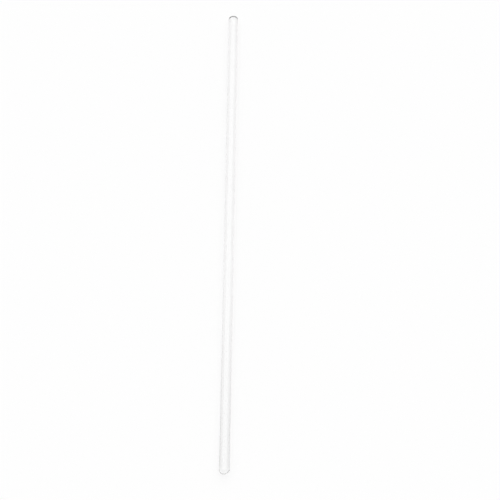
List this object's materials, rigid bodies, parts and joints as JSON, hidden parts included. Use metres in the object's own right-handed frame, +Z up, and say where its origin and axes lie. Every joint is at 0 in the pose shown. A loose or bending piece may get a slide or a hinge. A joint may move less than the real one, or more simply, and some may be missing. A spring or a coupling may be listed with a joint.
{
  "type": "glass stirring rod",
  "caption": "Straight solid rod of clear drawn glass with fire-polished ends, for stirring liquids and guiding them as they are poured.",
  "frame": {"origin": "on the rod's own axis, halfway between its tips, where a clamp or a hand holds it", "axes": "+Y along the rod's axis, from the domed end to the blunt end; +X across it; +Z up, with the rod lying level"},
  "size_m": [0.006, 0.3, 0.006],
  "materials": {
    "clear_glass": "clear borosilicate glass, drawn smooth, fire-polished at both ends"
  },
  "bodies": {
    "root": {"stirring_rod": "clear_glass"}
  },
  "joints": []
}
